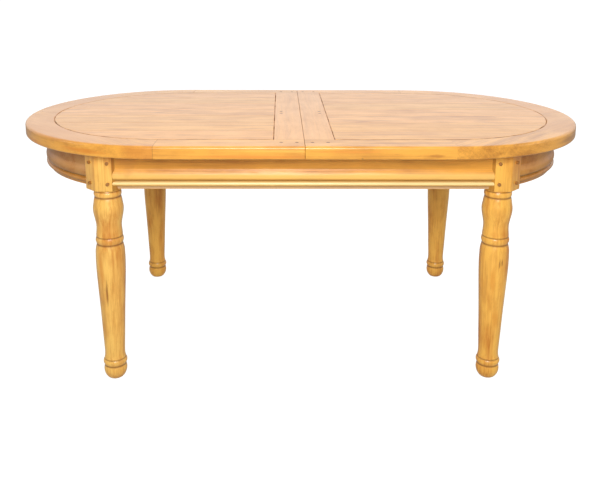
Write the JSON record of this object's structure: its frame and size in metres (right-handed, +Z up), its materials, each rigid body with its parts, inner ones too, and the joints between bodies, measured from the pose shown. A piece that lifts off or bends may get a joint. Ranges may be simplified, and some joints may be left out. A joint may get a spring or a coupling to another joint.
{
  "type": "oval dining table",
  "caption": "Oval dining table with a framed, planked top that parts at the middle and slides open over a fixed base of turned legs and beaded aprons",
  "frame": {"origin": "on the floor under the middle of the table", "axes": "+X along the table to its right end, +Y from the front to the back, +Z up"},
  "size_m": [1.83, 1.05, 0.765],
  "materials": {
    "border_timber": "clear satin lacquer over honey-coloured solid wood",
    "plank_timber": "clear satin lacquer over honey-coloured solid wood",
    "leg_timber": "clear satin lacquer over honey-coloured solid wood",
    "apron_timber": "clear satin lacquer over honey-coloured solid wood",
    "slide_timber": "bare planed hardwood, waxed where it slides",
    "peg_timber": "darker end grain, lacquered",
    "screw_steel": "zinc-plated steel",
    "catch_brass": "plain brass"
  },
  "bodies": {
    "base": {"apron_back": "apron_timber", "apron_front": "apron_timber", "apron_left": "apron_timber", "apron_right": "apron_timber", "bearer_left": "slide_timber", "bearer_right": "slide_timber", "guide_back": "slide_timber", "guide_front": "slide_timber", "guide_screws": "screw_steel", "leg_back_left": "leg_timber", "leg_back_right": "leg_timber", "leg_front_left": "leg_timber", "leg_front_right": "leg_timber", "leg_pegs": "peg_timber", "moulding_back": "apron_timber", "moulding_front": "apron_timber", "moulding_left": "apron_timber", "moulding_right": "apron_timber"},
    "left_half": {"left_back_curve": "border_timber", "left_back_rail": "border_timber", "left_batten": "slide_timber", "left_cross_rail": "border_timber", "left_dowels": "peg_timber", "left_front_curve": "border_timber", "left_front_rail": "border_timber", "left_pegs": "peg_timber", "left_plank_1": "plank_timber", "left_plank_2": "plank_timber", "left_plank_3": "plank_timber", "left_plank_4": "plank_timber", "left_plank_5": "plank_timber", "left_plank_6": "plank_timber", "left_plank_7": "plank_timber", "left_runner_back": "slide_timber", "left_runner_front": "slide_timber", "left_screws": "screw_steel", "left_slide_stops": "slide_timber", "catch_pivots": "catch_brass"},
    "right_half": {"right_back_curve": "border_timber", "right_back_rail": "border_timber", "right_batten": "slide_timber", "right_cross_rail": "border_timber", "right_dowels": "peg_timber", "right_front_curve": "border_timber", "right_front_rail": "border_timber", "right_pegs": "peg_timber", "right_plank_1": "plank_timber", "right_plank_2": "plank_timber", "right_plank_3": "plank_timber", "right_plank_4": "plank_timber", "right_plank_5": "plank_timber", "right_plank_6": "plank_timber", "right_plank_7": "plank_timber", "right_runner_back": "slide_timber", "right_runner_front": "slide_timber", "right_screws": "screw_steel", "right_slide_stops": "slide_timber", "catch_keepers": "catch_brass"},
    "front_catch": {"catch_front": "catch_brass"},
    "back_catch": {"catch_back": "catch_brass"}
  },
  "joints": [
    {"name": "left_slide", "type": "slide", "parent": "base", "child": "left_half", "axis": [-1, 0, 0], "range_m": [0, 0.25]},
    {"name": "right_slide", "type": "slide", "parent": "base", "child": "right_half", "axis": [1, 0, 0], "range_m": [0, 0.25]},
    {"name": "front_catch_turn", "type": "hinge", "parent": "left_half", "child": "front_catch", "pos_m": [-0.044, -0.13, 0.721], "axis": [0, 0, -1], "range_deg": [0, 90]},
    {"name": "back_catch_turn", "type": "hinge", "parent": "left_half", "child": "back_catch", "pos_m": [-0.044, 0.13, 0.721], "axis": [0, 0, 1], "range_deg": [0, 90]}
  ]
}
